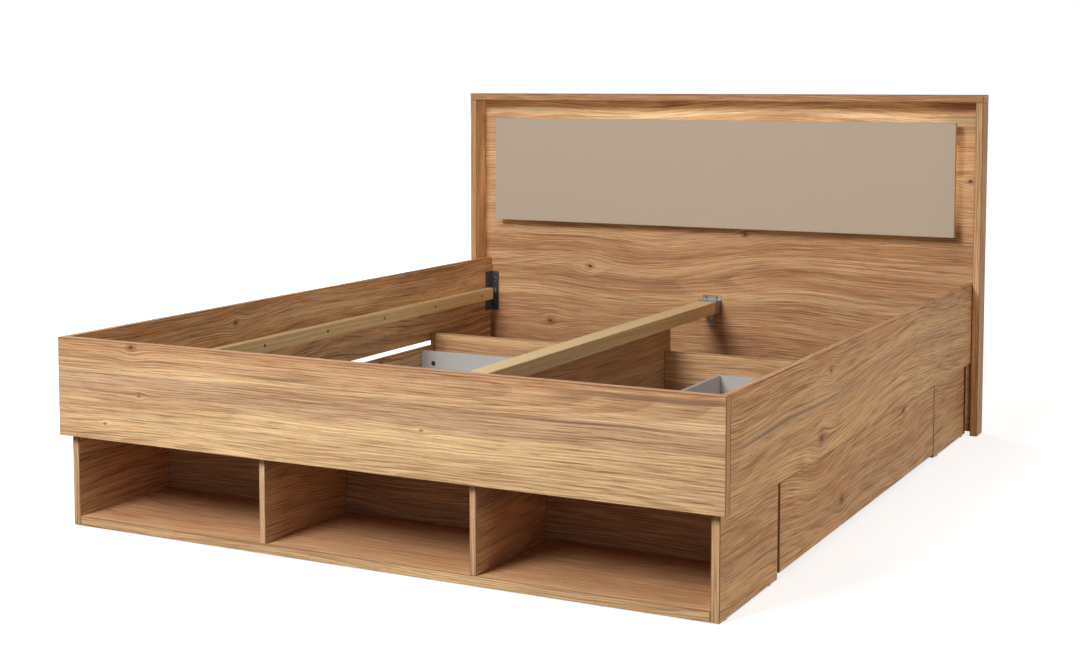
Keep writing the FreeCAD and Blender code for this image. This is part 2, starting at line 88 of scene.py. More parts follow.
def from_screen(red: int, green: int, blue: int) -> Colour:
    """Turns a screen colour into the linear one that shaders take.

    Args:
        red: Red, 0 to 255.
        green: Green, 0 to 255.
        blue: Blue, 0 to 255.

    Returns:
        The linear colour, each part 0 to 1.
    """
    shares = np.array([red, green, blue]) / 255.0
    curved = ((shares + SCREEN_OFFSET) / (1.0 + SCREEN_OFFSET)) ** SCREEN_POWER
    linear = np.where(shares <= SCREEN_KNEE, shares / SCREEN_SLOPE, curved)
    return tuple(float(part) for part in linear)


class Axis(Enum):
    """An axis of the bed, as its place in a vector."""

    X = 0
    Y = 1
    Z = 2


class Tone(Enum):
    """The printed shades that run through the wood decor, with one dark tone that paints the shade in the
    shelf's niches.
    """

    CREAM = from_screen(246, 217, 176)
    HONEY = from_screen(236, 197, 146)
    STRAW = from_screen(224, 183, 135)
    TAN = from_screen(212, 168, 124)
    ASH = from_screen(204, 165, 128)
    RUST = from_screen(200, 150, 107)
    UMBER = from_screen(180, 132, 92)
    # Painted shade: a dark greyed tone for the shaded back of the shelf's niches and the upper parts of its
    # dividers
    SMOKE = from_screen(170, 137, 110)


@dataclass(frozen=True)
class Span:
    """A smooth change in a number, from low at start to high at end. Past either it stays as it is there."""

    start: float
    end: float
    low: float = 0.0
    high: float = 1.0

    @classmethod
    def about(cls, middle: float, spread: float) -> "Span":
        """Spreads noise evenly about a middle value."""
        return cls(NOISE_LOW, NOISE_HIGH, middle - spread, middle + spread)

    def times(self, factor: float) -> "Span":
        """Gives the same change with its high value multiplied."""
        return Span(self.start, self.end, self.low, self.high * factor)


@dataclass(frozen=True)
class Layer:
    """A layer of noise: cells per metre along and across the grain, place in depth, and its finer layers."""

    along: float
    across: float
    depth: float = 0.0
    detail: float = 2.0
    roughness: float = 0.5


class Number:
    """A number that varies over a surface. Sums on it add Math nodes to its graph."""

    def __init__(self, graph: "Graph", socket: Socket) -> None:
        """Wraps a socket."""
        self.graph = graph
        self.socket = socket

    def __add__(self, other: "Number | float") -> "Number":
        """Adds another number."""
        return self.graph.math("ADD", self, other)

    def __sub__(self, other: "Number | float") -> "Number":
        """Takes another number away."""
        return self.graph.math("SUBTRACT", self, other)

    def __mul__(self, other: "Number | float") -> "Number":
        """Multiplies by another number."""
        return self.graph.math("MULTIPLY", self, other)

    def __abs__(self) -> "Number":
        """Drops the sign."""
        return self.graph.math("ABSOLUTE", self)

    def exp(self) -> "Number":
        """Raises e to the number."""
        return self.graph.math("EXPONENT", self)

    def least(self, other: "Number | float") -> "Number":
        """Gives the lesser of two numbers."""
        return self.graph.math("MINIMUM", self, other)

    def most(self, other: "Number | float") -> "Number":
        """Gives the greater of two numbers."""
        return self.graph.math("MAXIMUM", self, other)

    def swing(self, reach: float) -> "Number":
        """Turns noise about one half into a push of up to reach either way."""
        return (self - 0.5) * (2.0 * reach)

    def fade(self, span: Span) -> "Number":
        """Carries the number smoothly over a span."""
        return self.graph.fade(self, span)


class Graph:
    """Adds the nodes of one material and wires them up."""

    def __init__(self, tree: bpy.types.NodeTree) -> None:
        """Starts on an emptied tree."""
        self.tree = tree
        tree.nodes.clear()

    def add(self, kind: str, **settings: object) -> bpy.types.Node:
        """Adds a node.

        Args:
            kind: The node's type, without the ShaderNode prefix.
            **settings: Values for the node's own properties.

        Returns:
            The new node.
        """
        node = self.tree.nodes.new("ShaderNode" + kind)
        for name, value in settings.items():
            setattr(node, name, value)
        return node

    def feed(self, target: Socket, value: object) -> None:
        """Links a number or socket into a socket, or sets a constant on it.

        Args:
            target: The socket that is fed.
            value: A number, a socket or a constant.
        """
        source = value.socket if isinstance(value, Number) else value
        if isinstance(source, Socket):
            self.tree.links.new(source, target)
        else:
            target.default_value = source

    def math(self, operation: str, first: Number | float, second: Number | float = 0.0) -> Number:
        """Adds one sum.

        Args:
            operation: The Math node's operation.
            first: The first number.
            second: The second number.

        Returns:
            The result.
        """
        node = self.add("Math", operation=operation)
        self.feed(node.inputs[0], first)
        self.feed(node.inputs[1], second)
        return Number(self, node.outputs[0])

    def place(self) -> list[Number]:
        """Gives the point's own X, Y and Z on its object."""
        return self.split(self.add("TexCoord").outputs["Object"])

    def split(self, vector: Socket) -> list[Number]:
        """Splits a vector into its three parts.

        Args:
            vector: The vector's socket.

        Returns:
            Its X, Y and Z.
        """
        node = self.add("SeparateXYZ")
        self.feed(node.inputs[0], vector)
        return [Number(self, output) for output in node.outputs]

    def noise(self, x: Number, y: Number, z: Number | float = 0.0, detail: float = 2.0,
              roughness: float = 0.5) -> Number:
        """Adds soft noise about one half.

        Args:
            x: First coordinate that it is read at.
            y: Second coordinate.
            z: Third coordinate.
            detail: How many finer layers are added.
            roughness: How strong the finer layers are.

        Returns:
            The noise, about 0 to 1.
        """
        spot = self.add("CombineXYZ")
        for target, value in zip(spot.inputs, (x, y, z)):
            self.feed(target, value)
        node = self.add("TexNoise", noise_dimensions="3D")
        self.feed(node.inputs["Vector"], spot.outputs[0])
        node.inputs["Scale"].default_value = 1.0
        node.inputs["Detail"].default_value = detail
        node.inputs["Roughness"].default_value = roughness
        return Number(self, node.outputs[0])

    def layer(self, layer: Layer, along: Number, across: Number, seed: float = 0.0) -> Number:
        """Adds a layer of noise that is drawn out along the grain.

        Args:
            layer: The layer.
            along: Place along the grain.
            across: Place across the grain.
            seed: Which stretch of the pattern is read.

        Returns:
            The noise, about 0 to 1.
        """
        return self.noise(along * layer.along, across * layer.across, seed + layer.depth, layer.detail,
                          layer.roughness)

    def fade(self, value: Number, span: Span) -> Number:
        """Carries a number smoothly over a span.

        Args:
            value: The number.
            span: Where the change starts and ends, and its values there.

        Returns:
            The result.
        """
        node = self.add("MapRange", interpolation_type="SMOOTHSTEP")
        names = ("Value", "From Min", "From Max", "To Min", "To Max")
        for name, number in zip(names, (value, *astuple(span))):
            self.feed(node.inputs[name], number)
        return Number(self, node.outputs[0])

    def ramp(self, value: Number, stops: Sequence[tuple[float, Colour]]) -> Socket:
        """Picks a colour along a row of stops.

        Args:
            value: The place on the row, 0 to 1.
            stops: Places and colours, in order.

        Returns:
            The colour's socket.
        """
        node = self.add("ValToRGB")
        elements = node.color_ramp.elements
        while len(elements) < len(stops):
            elements.new(1.0)
        for element, (place, colour) in zip(elements, stops):
            element.position = place
            element.color = (*colour, 1.0)
        self.feed(node.inputs[0], value)
        return node.outputs[0]

    def blend(self, share: Number | float, first: object, second: object,
              mode: str = "MIX") -> Socket:
        """Mixes two colours.

        Args:
            share: How much of the second colour shows.
            first: The first colour, or its socket.
            second: The second colour, or its socket.
            mode: The Mix node's blend type.

        Returns:
            The mixed colour's socket.
        """
        node = self.add("Mix", data_type="RGBA", blend_type=mode)
        ports = {port.identifier: port for port in node.inputs}
        self.feed(ports["Factor_Float"], share)
        for name, colour in (("A_Color", first), ("B_Color", second)):
            self.feed(ports[name], (*colour, 1.0) if isinstance(colour, tuple) else colour)
        return next(port for port in node.outputs if port.identifier == "Result_Color")

    def shade(self, colour: object, light: Number) -> Socket:
        """Multiplies a colour by a varying lightness.

        Args:
            colour: The colour, or its socket.
            light: The lightness, 1 leaving the colour as it is.

        Returns:
            The shaded colour's socket.
        """
        grey = self.add("CombineColor")
        for target in grey.inputs:
            self.feed(target, light)
        return self.blend(1.0, colour, grey.outputs[0], "MULTIPLY")

    def bump(self, height: Number, depth: float) -> Socket:
        """Turns a height, 0 to 1, into a bumped normal.

        Args:
            height: The height.
            depth: How many metres a height of 1 stands out.

        Returns:
            The normal's socket.
        """
        node = self.add("Bump")
        node.inputs["Strength"].default_value = 1.0
        node.inputs["Distance"].default_value = depth
        self.feed(node.inputs["Height"], height)
        return node.outputs[0]


@dataclass(frozen=True)
class Finish:
    """What every finish shares: one Principled shader and its steady values."""

    name: str
    metallic: float = 0.0
    specular: float = 0.5

    def shader(self) -> tuple[bpy.types.Material, Graph, bpy.types.Node]:
        """Makes the material with its shader and output.

        Returns:
            The material, its graph and its Principled node.
        """
        material = bpy.data.materials.new(self.name)
        material.use_nodes = True
        graph = Graph(material.node_tree)
        shader = graph.add("BsdfPrincipled")
        shader.inputs["Metallic"].default_value = self.metallic
        shader.inputs["Specular IOR Level"].default_value = self.specular
        output = graph.add("OutputMaterial")
        graph.feed(output.inputs["Surface"], shader.outputs[0])
        return material, graph, shader


@dataclass(frozen=True)
class Oval:
    """An oval place in the decor: its middle, its half length along the grain and half width across it."""

    along: float
    across: float
    half_length: float
    half_width: float

    def square(self, along: Number, across: Number) -> Number:
        """Gives the square of the distance from the middle, which is 1 at the oval's rim.

        Args:
            along: Place along the grain.
            across: Place across the grain.

        Returns:
            The squared distance.
        """
        long_way = (along - self.along) * (1.0 / self.half_length)
        cross_way = (across - self.across) * (1.0 / self.half_width)
        return long_way * long_way + cross_way * cross_way


@dataclass(frozen=True)
class Streak(Oval):
    """A dark streak in the decor."""

    half_width: float = 0.004


@dataclass(frozen=True)
class Swell(Oval):
    """A place where the grain swells, and how far it is lifted there."""

    lift: float


@dataclass(frozen=True)
class Knot:
    """A knot in the decor: its place along and across the grain, and its radius across it."""

    along: float
    across: float
    radius: float = 0.006

    STRETCH: ClassVar[float] = 1.5

    def oval(self) -> Oval:
        """Gives the knot's outline, which is drawn out along the grain."""
        return Oval(self.along, self.across, self.radius * self.STRETCH, self.radius)


class WoodPattern:
    """The colours, layers and strengths of the printed wood pattern, which every board shares."""

    BARK = from_screen(92, 52, 30)
    PALE = from_screen(242, 212, 170)
    VEIN = from_screen(142, 90, 54)
    EDGE = from_screen(128, 80, 48)
    GREY_VEIN = from_screen(132, 100, 80)

    # Layers of noise, from the widest to the finest
    WAVES = Layer(1.4, 3.0, detail=1.0)
    RING_HILL = Layer(0.4, 6.0, 3.0, 1.0, 0.4)
    PATCHES = Layer(1.6, 16.0, 9.0)
    RIPPLES = Layer(4.5, 17.0, 5.0)
    DRIFT = Layer(1.3, 22.0, 13.0)
    LINES = Layer(1.7, 150.0, 0.0, 5.0, 0.62)
    HAIRS = Layer(2.2, 260.0, 7.0, 4.0, 0.6)
    DASHES = Layer(11.0, 340.0, 0.0, 4.0, 0.6)
    STROKES = Layer(6.0, 420.0, 11.0, 5.0, 0.65)
    PORES = Layer(45.0, 900.0, detail=1.0)

    # How far the ripples move the grain, the rings' hill and their count on it, and the threads in a metre
    RIPPLE = 0.0035
    RING_SLOPE = 0.8
    RING_COUNT = 34.0
    THREAD_COUNT = 165.0
    THREAD_DRIFT = 1.7

    # How far each lightens or darkens the wood
    LINE_LIGHT = 0.45
    DASH_LIGHT = -0.36
    THREAD_LIGHT = 0.15
    PATCH_LIGHT = -0.14
    RING_LIGHT = 0.15
    PLAIN_LIGHT = 1.11

    # Where each is drawn in its own colour, and how strongly
    WARM_INK = Span(NOISE_LOW, NOISE_HIGH, 0.0, 0.45)
    LINE_INK = Span(0.42, 0.25, 0.0, 0.55)
    HAIR_INK = Span(0.54, 0.64, 0.0, 0.42)
    DASH_INK = Span(0.55, 0.64, 0.0, 0.4)
    STROKE_INK = Span(0.52, 0.61, 0.0, 0.48)
    PORE_MARK = Span(0.60, 0.70)
    PORE_INK = 0.3
    RING_PATCH = Span(0.36, 0.56, 0.25, 1.0)
    RING_START = Span(0.2, 0.85)
    RING_END = Span(1.0, 0.93)
    RING_INK = 0.22
    STREAK_FRAY = 1.5
    STREAK_INK = Span(1.3, 0.0, 0.0, 0.7)

    # Knots, by the square of the distance in knot radii
    KNOT_REACH = 30.0
    KNOT_PULL = 0.75
    KNOT_CORE = Span(1.4, 0.2)
    KNOT_HALO = Span(9.0, 0.5, 0.0, 0.4)
    KNOT_INK = 0.9

    # The board's bands, end faces, arrises and surface
    BAND_BLUR = 0.010
    END_FACE = 0.7
    ARRIS = Span(0.0028, 0.00084)
    ARRIS_INK = 0.7
    GLOSS = Span(NOISE_LOW, NOISE_HIGH, 0.50, 0.62)
    RELIEF = 0.00012


@dataclass(frozen=True)
class WoodDecor(WoodPattern, Finish):
    """Printed wood decor on one board: bands of shade, swells, rings, fine lines, streaks, pores and knots.

    Each band is the place across the board where it starts and its tone. The box is the board's own. The ink
    is how strong the fine lines are, and the end tone darkens or lightens the faces at the grain's two ends.
    """

    grain: Axis = Axis.X
    across: Axis = Axis.Z
    box: tuple[Sequence[float], Sequence[float]] = ((0.0, 0.0, 0.0), (1.0, 1.0, 1.0))
    bands: tuple[tuple[float, Tone], ...] = ((0.0, Tone.TAN),)
    knots: tuple[Knot, ...] = ()
    streaks: tuple[Streak, ...] = ()
    swells: tuple[Swell, ...] = ()
    seed: float = 0.0
    wave: float = 0.045
    ink: float = 1.0
    end_tone: float = 1.0
    specular: float = 0.12

    def directions(self, graph: Graph, place: list[Number]) -> tuple[Number, Number, Number]:
        """Gives each point's place along and across the grain.

        On the faces at the grain's two ends the decor is turned, as an edge band is, so that it runs along
        the face. The board's thickness is added to the place across, so that narrow edges have streaks too.

        Args:
            graph: The material's graph.
            place: The point's X, Y and Z.

        Returns:
            The place along, the place across, and 1 on the end faces.
        """
        normal = graph.split(graph.add("TexCoord").outputs["Normal"])
        through = next(axis.value for axis in Axis if axis not in (self.grain, self.across))
        end_face = graph.math("GREATER_THAN", abs(normal[self.grain.value]), self.END_FACE)
        along, across, depth = (place[axis] for axis in (self.grain.value, self.across.value, through))
        depth = depth - self.box[1][through]
        side = across + depth
        end = depth + along - self.box[1][self.grain.value] + self.box[1][self.across.value]
        return along + (across - along) * end_face, side + (end - side) * end_face, end_face

    def bend(self, along: Number, across: Number) -> tuple[Number, Number | None]:
        """Bends the grain round each knot and marks the knots themselves.

        A point is drawn towards the knot's level by a share of its distance across, pull exp(-d d / reach),
        d being its distance from the knot in knot radii. The mark is a dark core in a fainter halo.

        Args:
            along: Place along the grain.
            across: Place across the grain.

        Returns:
            The place across, bent, and the mark, or None without knots.
        """
        bent = across
        mark = None
        for knot in self.knots:
            square = knot.oval().square(along, across)
            hill = (square * (-1.0 / self.KNOT_REACH)).exp()
            bent = bent - hill * (across - knot.across) * self.KNOT_PULL
            spot = square.fade(self.KNOT_CORE).most(square.fade(self.KNOT_HALO))
            mark = spot if mark is None else mark.most(spot)
        return bent, mark

    def lift(self, along: Number, across: Number) -> Number:
        """Lifts the grain at each swell by exp(-d d) of its full lift, d being 1 at the swell's rim.

        Args:
            along: Place along the grain.
            across: Place across the grain.

        Returns:
            The place across, lifted.
        """
        lifted = across
        for swell in self.swells:
            lifted = lifted - (swell.square(along, across) * -1.0).exp() * swell.lift
        return lifted

    def rings(self, graph: Graph, along: Number, flow: Number) -> Number:
        """Draws growth rings as a saw meets them: arches and loops that follow the grain.

        The rings are the level lines of a hill that is long along the grain and short across it. Each darkens
        slowly towards its late wood and ends sharply.

        Args:
            graph: The material's graph.
            along: Place along the grain.
            flow: Place across the grain, with its waves.

        Returns:
            The rings' darkness, 0 to 1.
        """
        hill = graph.layer(self.RING_HILL, along, flow, self.seed) + flow * self.RING_SLOPE
        ring = graph.math("FRACT", hill * self.RING_COUNT)
        return ring.fade(self.RING_START) * ring.fade(self.RING_END)

    def edge(self, place: list[Number]) -> Number:
        """Marks the board's arrises.

        The distance to a board's nearest edge is the middle one of the distances to its faces along X, Y
        and Z. The lower face doesn't count, so that edges near the floor stay plain.

        Args:
            place: The point's X, Y and Z.

        Returns:
            The mark: 1 at an edge, 0 a little way in.
        """
        gaps = []
        for part, low, high in zip(place[:2], *self.box):
            gaps.append((abs(part - (low + high) / 2.0) - (high - low) / 2.0) * -1.0)
        first, second = gaps
        third = (place[2] - self.box[1][2]) * -1.0
        return first.least(second).most(first.most(second).least(third)).fade(self.ARRIS)

    def shade_stops(self, low: float, high: float) -> list[tuple[float, Colour]]:
        """Gives the ramp of shades, with a short blur where one band meets the next.

        Args:
            low: Where the ramp starts across the board.
            high: Where it ends.

        Returns:
            Places on the ramp, 0 to 1, and their colours.
        """
        stops = [(0.0, self.bands[0][1].value)]
        for (_, before), (start, after) in zip(self.bands, self.bands[1:]):
            for edge, tone in ((start - self.BAND_BLUR / 2.0, before), (start + self.BAND_BLUR / 2.0, after)):
                stops.append((min(max((edge - low) / (high - low), 0.0), 1.0), tone.value))
        return stops

    def veins(self, colour: object, graph: Graph, along: Number, flow: Number, lines: Number) -> object:
        """Draws the dark streaks: long ovals whose rims are frayed by the grain lines.

        Args:
            colour: The wood's colour so far.
            graph: The material's graph.
            along: Place along the grain.
            flow: Place across the grain, with its waves.
            lines: The grain lines' noise.

        Returns:
            The colour with its streaks.
        """
        for streak in self.streaks:
            frayed = streak.square(along, flow) + lines.swing(self.STREAK_FRAY)
            colour = graph.blend(frayed.fade(self.STREAK_INK), colour, self.GREY_VEIN)
        return colour

    def material(self) -> bpy.types.Material:
        """Makes the board's material.

        The threads are a sine of the place across the grain, shifted a little by noise, so they run on as
        fine even lines.

        Returns:
            The material.
        """
        material, graph, shader = self.shader()
        place = graph.place()
        along, across, end_face = self.directions(graph, place)
        bent, mark = self.bend(along, across)
        wave = graph.layer(self.WAVES, along, bent, self.seed).swing(self.wave)
        ripple = graph.layer(self.RIPPLES, along, bent, self.seed).swing(self.RIPPLE)
        flow = self.lift(along, bent) + wave + ripple
        low, high = (corner[self.across.value] for corner in self.box)
        base = graph.ramp((flow - low) * (1.0 / (high - low)), self.shade_stops(low, high))

        layers = (self.PATCHES, self.LINES, self.DASHES, self.HAIRS, self.STROKES, self.DRIFT, self.PORES)
        patches, lines, dashes, hairs, strokes, drift, pores = (
            graph.layer(layer, along, flow, self.seed) for layer in layers)
        threads = graph.math("SINE", (flow * self.THREAD_COUNT + drift.swing(self.THREAD_DRIFT)) * math.tau)
        rings = self.rings(graph, along, flow) * patches.fade(self.RING_PATCH)
        pits = pores.fade(self.PORE_MARK)

        warm = graph.blend(patches.fade(self.WARM_INK), base, Tone.RUST.value)
        fine = lines.swing(self.LINE_LIGHT * self.ink) + dashes.swing(self.DASH_LIGHT * self.ink)
        broad = patches.swing(self.PATCH_LIGHT) - rings * self.RING_LIGHT
        colour = graph.shade(warm, fine + threads * self.THREAD_LIGHT + broad + self.PLAIN_LIGHT)
        dark_inks = (lines.fade(self.LINE_INK.times(self.ink)), hairs.fade(self.HAIR_INK.times(self.ink)),
                     dashes.fade(self.DASH_INK.times(self.ink)), rings * self.RING_INK, pits * self.PORE_INK)
        for ink in dark_inks:
            colour = graph.blend(ink, colour, self.VEIN)
        colour = graph.blend(strokes.fade(self.STROKE_INK.times(self.ink)), colour, self.PALE)
        colour = self.veins(colour, graph, along, flow, lines)
        if mark is not None:
            colour = graph.blend(mark * self.KNOT_INK, colour, self.BARK)
        ended = graph.shade(colour, end_face * (self.end_tone - 1.0) + 1.0)
        edged = graph.blend(self.edge(place) * self.ARRIS_INK, ended, self.EDGE)
        graph.feed(shader.inputs["Base Color"], edged)
        graph.feed(shader.inputs["Roughness"], dashes.fade(self.GLOSS))
        graph.feed(shader.inputs["Normal"], graph.bump(lines + dashes - pits, self.RELIEF))
        return material


@dataclass(frozen=True)
class BarePine(Finish):
    """Planed pine: straight pale grain with darker late wood and a few small knots."""

    grain: Axis = Axis.Y
    specular: float = 0.3

    PALE: ClassVar[Colour] = from_screen(250, 222, 172)
    DEEP: ClassVar[Colour] = from_screen(230, 192, 136)
    KNOT: ClassVar[Colour] = from_screen(120, 78, 44)
    WANDER: ClassVar[Layer] = Layer(2.0, 12.0)
    WANDER_REACH: ClassVar[float] = 0.006
    SLANT: ClassVar[float] = 0.6
    RINGS: ClassVar[Layer] = Layer(1.2, 240.0, detail=3.0)
    FIBRES: ClassVar[Layer] = Layer(24.0, 1100.0)
    SPOTS: ClassVar[Layer] = Layer(5.0, 30.0, 4.0, 0.0)
    RING_STOPS: ClassVar[tuple[tuple[float, Colour], ...]] = ((0.32, PALE), (0.62, DEEP), (0.70, PALE))
    KNOT_INK: ClassVar[Span] = Span(0.80, 0.88, 0.0, 0.7)
    FIBRE_LIGHT: ClassVar[Span] = Span(0.25, 0.75, 0.88, 1.06)
    GLOSS: ClassVar[Span] = Span(NOISE_LOW, NOISE_HIGH, 0.55, 0.7)
    RELIEF: ClassVar[float] = 0.0002

    def material(self) -> bpy.types.Material:
        """Makes the pine's material.

        Returns:
            The material.
        """
        material, graph, shader = self.shader()
        parts = graph.place()
        along = parts.pop(self.grain.value)
        first, second = parts
        scale = self.WANDER.across
        wander = graph.noise(along * self.WANDER.along, first * scale, second * scale)
        across = first + second * self.SLANT + wander.swing(self.WANDER_REACH)
        layers = (self.RINGS, self.FIBRES, self.SPOTS)
        ring, fibre, spot = (graph.layer(layer, along, across) for layer in layers)
        knotted = graph.blend(spot.fade(self.KNOT_INK), graph.ramp(ring, self.RING_STOPS), self.KNOT)
        graph.feed(shader.inputs["Base Color"], graph.shade(knotted, fibre.fade(self.FIBRE_LIGHT)))
        graph.feed(shader.inputs["Roughness"], fibre.fade(self.GLOSS))
        graph.feed(shader.inputs["Normal"], graph.bump(fibre, self.RELIEF))
        return material


@dataclass(frozen=True)
class SmoothFace(Finish):
    """A smooth painted, foiled or moulded surface: faint mottling, fine texture and uneven gloss."""

    colour: Colour = (0.5, 0.5, 0.5)
    roughness: float = 0.5
    mottle: float = 0.03
    grain_size: float = 0.0012
    grain_depth: float = 0.00002

    CLOUDS: ClassVar[float] = 9.0
    CLOUD_DETAIL: ClassVar[float] = 3.0
    GLOSS_SPREAD: ClassVar[float] = 0.05

    def material(self) -> bpy.types.Material:
        """Makes the surface's material.

        Returns:
            The material.
        """
        material, graph, shader = self.shader()
        parts = graph.place()
        clouds = graph.noise(*(part * self.CLOUDS for part in parts), self.CLOUD_DETAIL)
        skin = graph.noise(*(part * (1.0 / self.grain_size) for part in parts))
        light = clouds.swing(self.mottle) + skin.swing(self.mottle / 2.0) + 1.0
        graph.feed(shader.inputs["Base Color"], graph.shade(self.colour, light))
        graph.feed(shader.inputs["Roughness"], skin.fade(Span.about(self.roughness, self.GLOSS_SPREAD)))
        graph.feed(shader.inputs["Normal"], graph.bump(skin, self.grain_depth))
        return material


@dataclass(frozen=True)
class RolledMetal(Finish):
    """Sheet or bar metal, with rolling marks drawn out along one axis, and faint stains."""

    colour: Colour = (0.6, 0.6, 0.6)
    roughness: float = 0.35
    rolled: Axis = Axis.Z
    metallic: float = 1.0

    ACROSS_MARKS: ClassVar[float] = 1400.0
    ALONG_MARKS: ClassVar[float] = 35.0
    MARK_LIGHT: ClassVar[float] = 0.10
    MARK_DEPTH: ClassVar[float] = 0.00003
    STAINS: ClassVar[float] = 40.0
    STAIN_DETAIL: ClassVar[float] = 3.0
    STAIN_LIGHT: ClassVar[float] = 0.12
    GLOSS_SPREAD: ClassVar[float] = 0.08

    def material(self) -> bpy.types.Material:
        """Makes the metal's material.

        Returns:
            The material.
        """
        material, graph, shader = self.shader()
        parts = graph.place()
        scales = [self.ALONG_MARKS if axis is self.rolled else self.ACROSS_MARKS for axis in Axis]
        marks = graph.noise(*(part * scale for part, scale in zip(parts, scales)))
        stains = graph.noise(*(part * self.STAINS for part in parts), self.STAIN_DETAIL)
        light = marks.swing(self.MARK_LIGHT) + stains.swing(self.STAIN_LIGHT) + 1.0
        graph.feed(shader.inputs["Base Color"], graph.shade(self.colour, light))
        graph.feed(shader.inputs["Roughness"], marks.fade(Span.about(self.roughness, self.GLOSS_SPREAD)))
        graph.feed(shader.inputs["Normal"], graph.bump(marks, self.MARK_DEPTH))
        return material


@dataclass(frozen=True)
class LitDiffuser(Finish):
    """Frosted plastic over a row of small warm lights, brightest in the strips at the two sides."""

    colour: Colour = from_screen(255, 240, 214)
    glow: Colour = (1.0, 0.99, 0.82)
    power: float = 17.5
    top_share: float = 0.6
    half_width: float = 0.6
    strip_width: float = 0.012
    light_spacing: float = 0.0166

    PULSE: ClassVar[float] = 0.12
    STRIP_BLUR: ClassVar[float] = 0.002
    GLOSS: ClassVar[Span] = Span(0.76, 1.0, 0.5, 0.6)

    def material(self) -> bpy.types.Material:
        """Makes the diffuser's material.

        Its brightness follows a cosine of the place along the row, with one wave for each light behind it.

        Returns:
            The material.
        """
        material, graph, shader = self.shader()
        x, _, z = graph.place()
        wave = graph.math("COSINE", (x + z) * (math.tau / self.light_spacing))
        pulse = wave * self.PULSE + (1.0 - self.PULSE)
        inner = self.half_width - self.strip_width
        level = abs(x).fade(Span(inner - self.STRIP_BLUR, inner, self.top_share, 1.0))
        graph.feed(shader.inputs["Base Color"], graph.shade(self.colour, pulse))
        graph.feed(shader.inputs["Emission Color"], graph.shade(self.glow, pulse * level))
        shader.inputs["Emission Strength"].default_value = self.power
        graph.feed(shader.inputs["Roughness"], pulse.fade(self.GLOSS))
        return material


def solids(node: str) -> list[np.ndarray]:
    """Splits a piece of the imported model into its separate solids.

    Every point starts with a label of its own, and each edge gives both its ends the lesser of their labels
    until nothing changes. Points with the same label then belong to one solid.

    Args:
        node: The piece's name.

    Returns:
        The corner points of each solid.
    """
    mesh = frame["nodes"][node].data
    points = np.empty(len(mesh.vertices) * 3)
    mesh.vertices.foreach_get("co", points)
    ends = np.empty(len(mesh.edges) * 2, dtype=int)
    mesh.edges.foreach_get("vertices", ends)
    spots, index = np.unique(np.round(points.reshape(-1, 3), POINT_DECIMALS), axis=0, return_inverse=True)
    pairs = index.ravel()[ends].reshape(-1, 2)
    labels = np.arange(len(spots))
    settled = False
    while not settled:
        least = np.repeat(labels[pairs].min(axis=1), 2)
        fresh = labels.copy()
        np.minimum.at(fresh, pairs.ravel(), least)
        settled = bool((fresh == labels).all())
        labels = fresh
    return [spots[labels == label] for label in np.unique(labels)]


@dataclass(frozen=True)
class Seat:
    """Where a turned piece goes: its axis, which way its head faces, the head's end and the length behind."""

    axis: int
    facing: float
    head: np.ndarray
    length: float

    WIDE_SHARE: ClassVar[float] = 0.8

    @classmethod
    def of(cls, points: np.ndarray, axis: Axis | None = None) -> "Seat":
        """Reads a solid's seat from its corner points.

        Args:
            points: The solid's corner points.
            axis: Its axis, or None for its longest side.

        Returns:
            The seat. Its head is at the end with the widest section.
        """
        low, high = points.min(axis=0), points.max(axis=0)
        line = int(np.argmax(high - low)) if axis is None else axis.value
        middle = (low + high) / 2.0
        width = np.linalg.norm(np.delete(points - middle, line, axis=1), axis=1)
        wide = points[width > cls.WIDE_SHARE * width.max()]
        return cls.at_end(points, line, wide[:, line].mean() >= middle[line])

    @classmethod
    def let_into(cls, points: np.ndarray, board: str, axis: Axis) -> "Seat":
        """Reads the seat of a round solid that is let into a board.

        Args:
            points: The solid's corner points.
            board: The board's node.
            axis: The solid's axis.

        Returns:
            The seat. Its head is at the end that lies in one of the board's faces.
        """
        line = axis.value
        under, over = (corner[line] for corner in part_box(board))
        upper = over - points[:, line].max() < points[:, line].min() - under
        return cls.at_end(points, line, upper)

    @classmethod
    def at_end(cls, points: np.ndarray, line: int, upper: bool) -> "Seat":
        """Puts the head at one end of a solid.

        Args:
            points: The solid's corner points.
            line: Its axis, as a place in a vector.
            upper: Whether the head is at the upper end.

        Returns:
            The seat.
        """
        low, high = points.min(axis=0), points.max(axis=0)
        head = (low + high) / 2.0
        head[line] = high[line] if upper else low[line]
        return cls(line, 1.0 if upper else -1.0, head, float(high[line] - low[line]))

    def settle(self, points: np.ndarray) -> np.ndarray:
        """Turns points made round Z, with the head's end at 0 and the rest below, to this seat."""
        turned = points * np.array([1.0, 1.0, self.facing])
        return np.roll(turned, self.axis + 1, axis=-1) + self.head


def revolve(profile: np.ndarray, columns: int) -> np.ndarray:
    """Carries a profile round Z: the point of radius r and height h is (r cos a, r sin a, h) at angle a.

    Args:
        profile: Rows of radius and height.
        columns: How many angles there are in a turn.

    Returns:
        The grid of points, rows by columns by 3.
    """
    angles = np.linspace(0.0, math.tau, columns, endpoint=False)
    radius, height = profile[:, :1], profile[:, 1:]
    return np.stack([radius * np.cos(angles), radius * np.sin(angles), height + 0.0 * angles], axis=-1)


